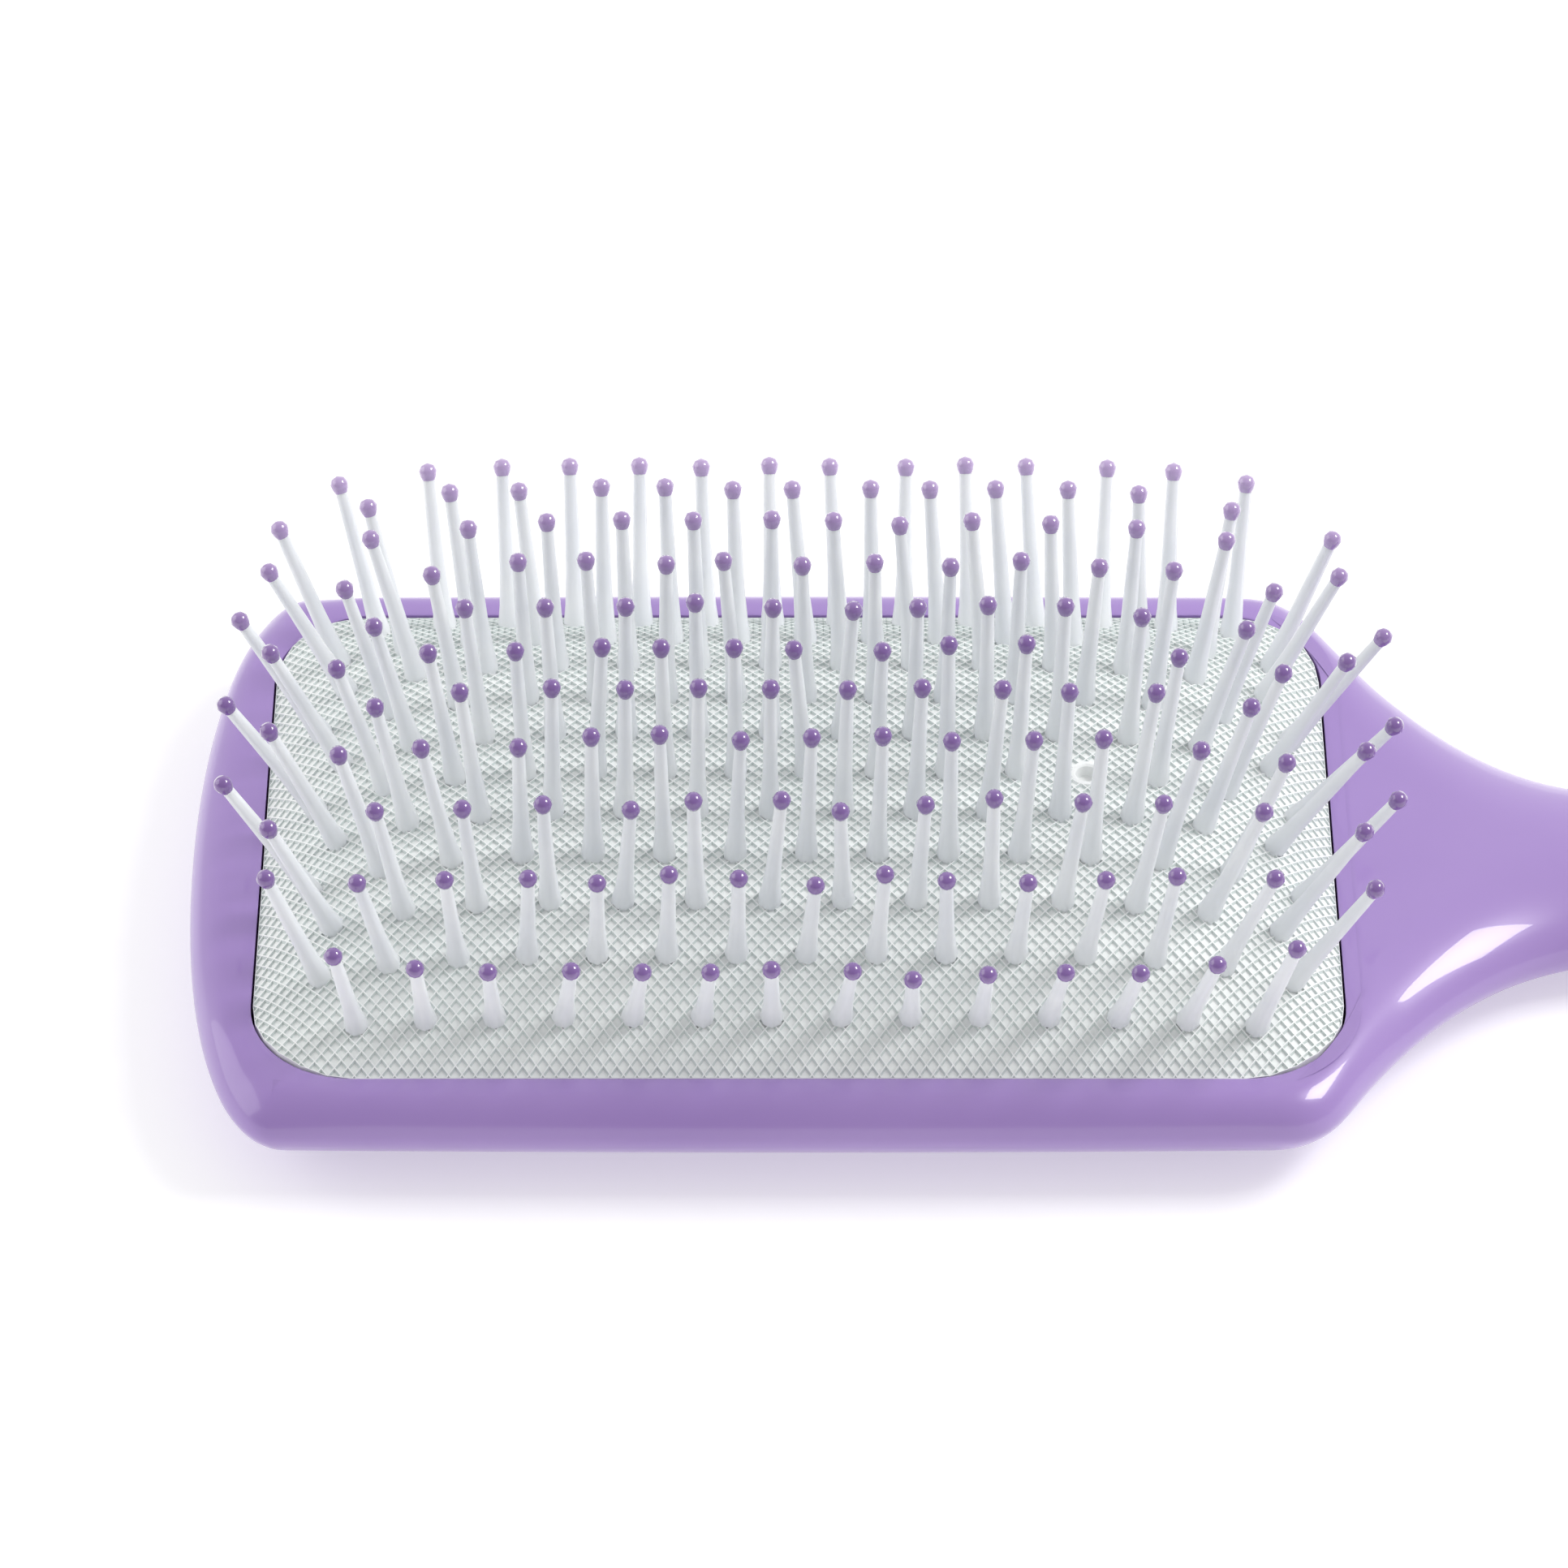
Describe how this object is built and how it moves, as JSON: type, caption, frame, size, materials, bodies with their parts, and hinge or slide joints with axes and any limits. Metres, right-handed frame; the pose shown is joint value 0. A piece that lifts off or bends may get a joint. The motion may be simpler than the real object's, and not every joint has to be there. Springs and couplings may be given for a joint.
{
  "type": "paddle brush",
  "caption": "Flat rectangular hair brush with a moulded frame and handle, a domed rubber air cushion and staggered rows of ball-tipped nylon pins.",
  "frame": {"origin": "centre of the pin field on the flat back of the head, which is the face the brush lies on", "axes": "+X runs along the handle to its end, +Y across the brush, +Z the way the pins point"},
  "size_m": [0.2475, 0.0802, 0.038],
  "materials": {
    "frame_plastic": "glossy lilac moulded plastic",
    "cushion_rubber": "pale rubber with a fine raised net",
    "tray_plastic": "plain white moulded plastic",
    "pin_nylon": "white nylon, with dipped lilac ball tips"
  },
  "bodies": {
    "frame": {"body_frame_and_handle": "frame_plastic", "cushion_tray": "tray_plastic"},
    "cushion": {"cushion_pad": "cushion_rubber"},
    "pin_row_01": {"pin_row_01_left": "pin_nylon", "pin_row_01_right": "pin_nylon"},
    "pin_row_02": {"pin_row_02_left": "pin_nylon", "pin_row_02_right": "pin_nylon"},
    "pin_row_03": {"pin_row_03_left": "pin_nylon", "pin_row_03_right": "pin_nylon"},
    "pin_row_04": {"pin_row_04_left": "pin_nylon", "pin_row_04_right": "pin_nylon"},
    "pin_row_05": {"pin_row_05_left": "pin_nylon", "pin_row_05_right": "pin_nylon"},
    "pin_row_06": {"pin_row_06_left": "pin_nylon", "pin_row_06_right": "pin_nylon"},
    "pin_row_07": {"pin_row_07_left": "pin_nylon", "pin_row_07_right": "pin_nylon"},
    "pin_row_08": {"pin_row_08_left": "pin_nylon", "pin_row_08_right": "pin_nylon"},
    "pin_row_09": {"pin_row_09_left": "pin_nylon", "pin_row_09_right": "pin_nylon"},
    "pin_row_10": {"pin_row_10_left": "pin_nylon", "pin_row_10_right": "pin_nylon"},
    "pin_row_11": {"pin_row_11_left": "pin_nylon", "pin_row_11_right": "pin_nylon"}
  },
  "joints": [
    {"name": "cushion_press", "type": "slide", "parent": "frame", "child": "cushion", "axis": [0, 0, -1], "range_m": [0, 0.0025], "stiffness_N_per_m": 2500, "deforming": ["cushion_pad"]},
    {"name": "pin_row_01_tilt", "type": "hinge", "parent": "cushion", "child": "pin_row_01", "pos_m": [0, -0.02971, 0.01347], "axis": [1, 0, 0], "range_deg": [-8, 8], "stiffness_Nm_per_rad": 0.05},
    {"name": "pin_row_02_tilt", "type": "hinge", "parent": "cushion", "child": "pin_row_02", "pos_m": [0, -0.02377, 0.0159], "axis": [1, 0, 0], "range_deg": [-8, 8], "stiffness_Nm_per_rad": 0.05},
    {"name": "pin_row_03_tilt", "type": "hinge", "parent": "cushion", "child": "pin_row_03", "pos_m": [0, -0.01783, 0.01751], "axis": [1, 0, 0], "range_deg": [-8, 8], "stiffness_Nm_per_rad": 0.05},
    {"name": "pin_row_04_tilt", "type": "hinge", "parent": "cushion", "child": "pin_row_04", "pos_m": [0, -0.01188, 0.01801], "axis": [1, 0, 0], "range_deg": [-8, 8], "stiffness_Nm_per_rad": 0.05},
    {"name": "pin_row_05_tilt", "type": "hinge", "parent": "cushion", "child": "pin_row_05", "pos_m": [0, -0.00594, 0.01855], "axis": [1, 0, 0], "range_deg": [-8, 8], "stiffness_Nm_per_rad": 0.05},
    {"name": "pin_row_06_tilt", "type": "hinge", "parent": "cushion", "child": "pin_row_06", "pos_m": [0, 0, 0.01831], "axis": [1, 0, 0], "range_deg": [-8, 8], "stiffness_Nm_per_rad": 0.05},
    {"name": "pin_row_07_tilt", "type": "hinge", "parent": "cushion", "child": "pin_row_07", "pos_m": [0, 0.00594, 0.01855], "axis": [1, 0, 0], "range_deg": [-8, 8], "stiffness_Nm_per_rad": 0.05},
    {"name": "pin_row_08_tilt", "type": "hinge", "parent": "cushion", "child": "pin_row_08", "pos_m": [0, 0.01188, 0.01801], "axis": [1, 0, 0], "range_deg": [-8, 8], "stiffness_Nm_per_rad": 0.05},
    {"name": "pin_row_09_tilt", "type": "hinge", "parent": "cushion", "child": "pin_row_09", "pos_m": [0, 0.01783, 0.01751], "axis": [1, 0, 0], "range_deg": [-8, 8], "stiffness_Nm_per_rad": 0.05},
    {"name": "pin_row_10_tilt", "type": "hinge", "parent": "cushion", "child": "pin_row_10", "pos_m": [0, 0.02377, 0.0159], "axis": [1, 0, 0], "range_deg": [-8, 8], "stiffness_Nm_per_rad": 0.05},
    {"name": "pin_row_11_tilt", "type": "hinge", "parent": "cushion", "child": "pin_row_11", "pos_m": [0, 0.02971, 0.01347], "axis": [1, 0, 0], "range_deg": [-8, 8], "stiffness_Nm_per_rad": 0.05}
  ]
}
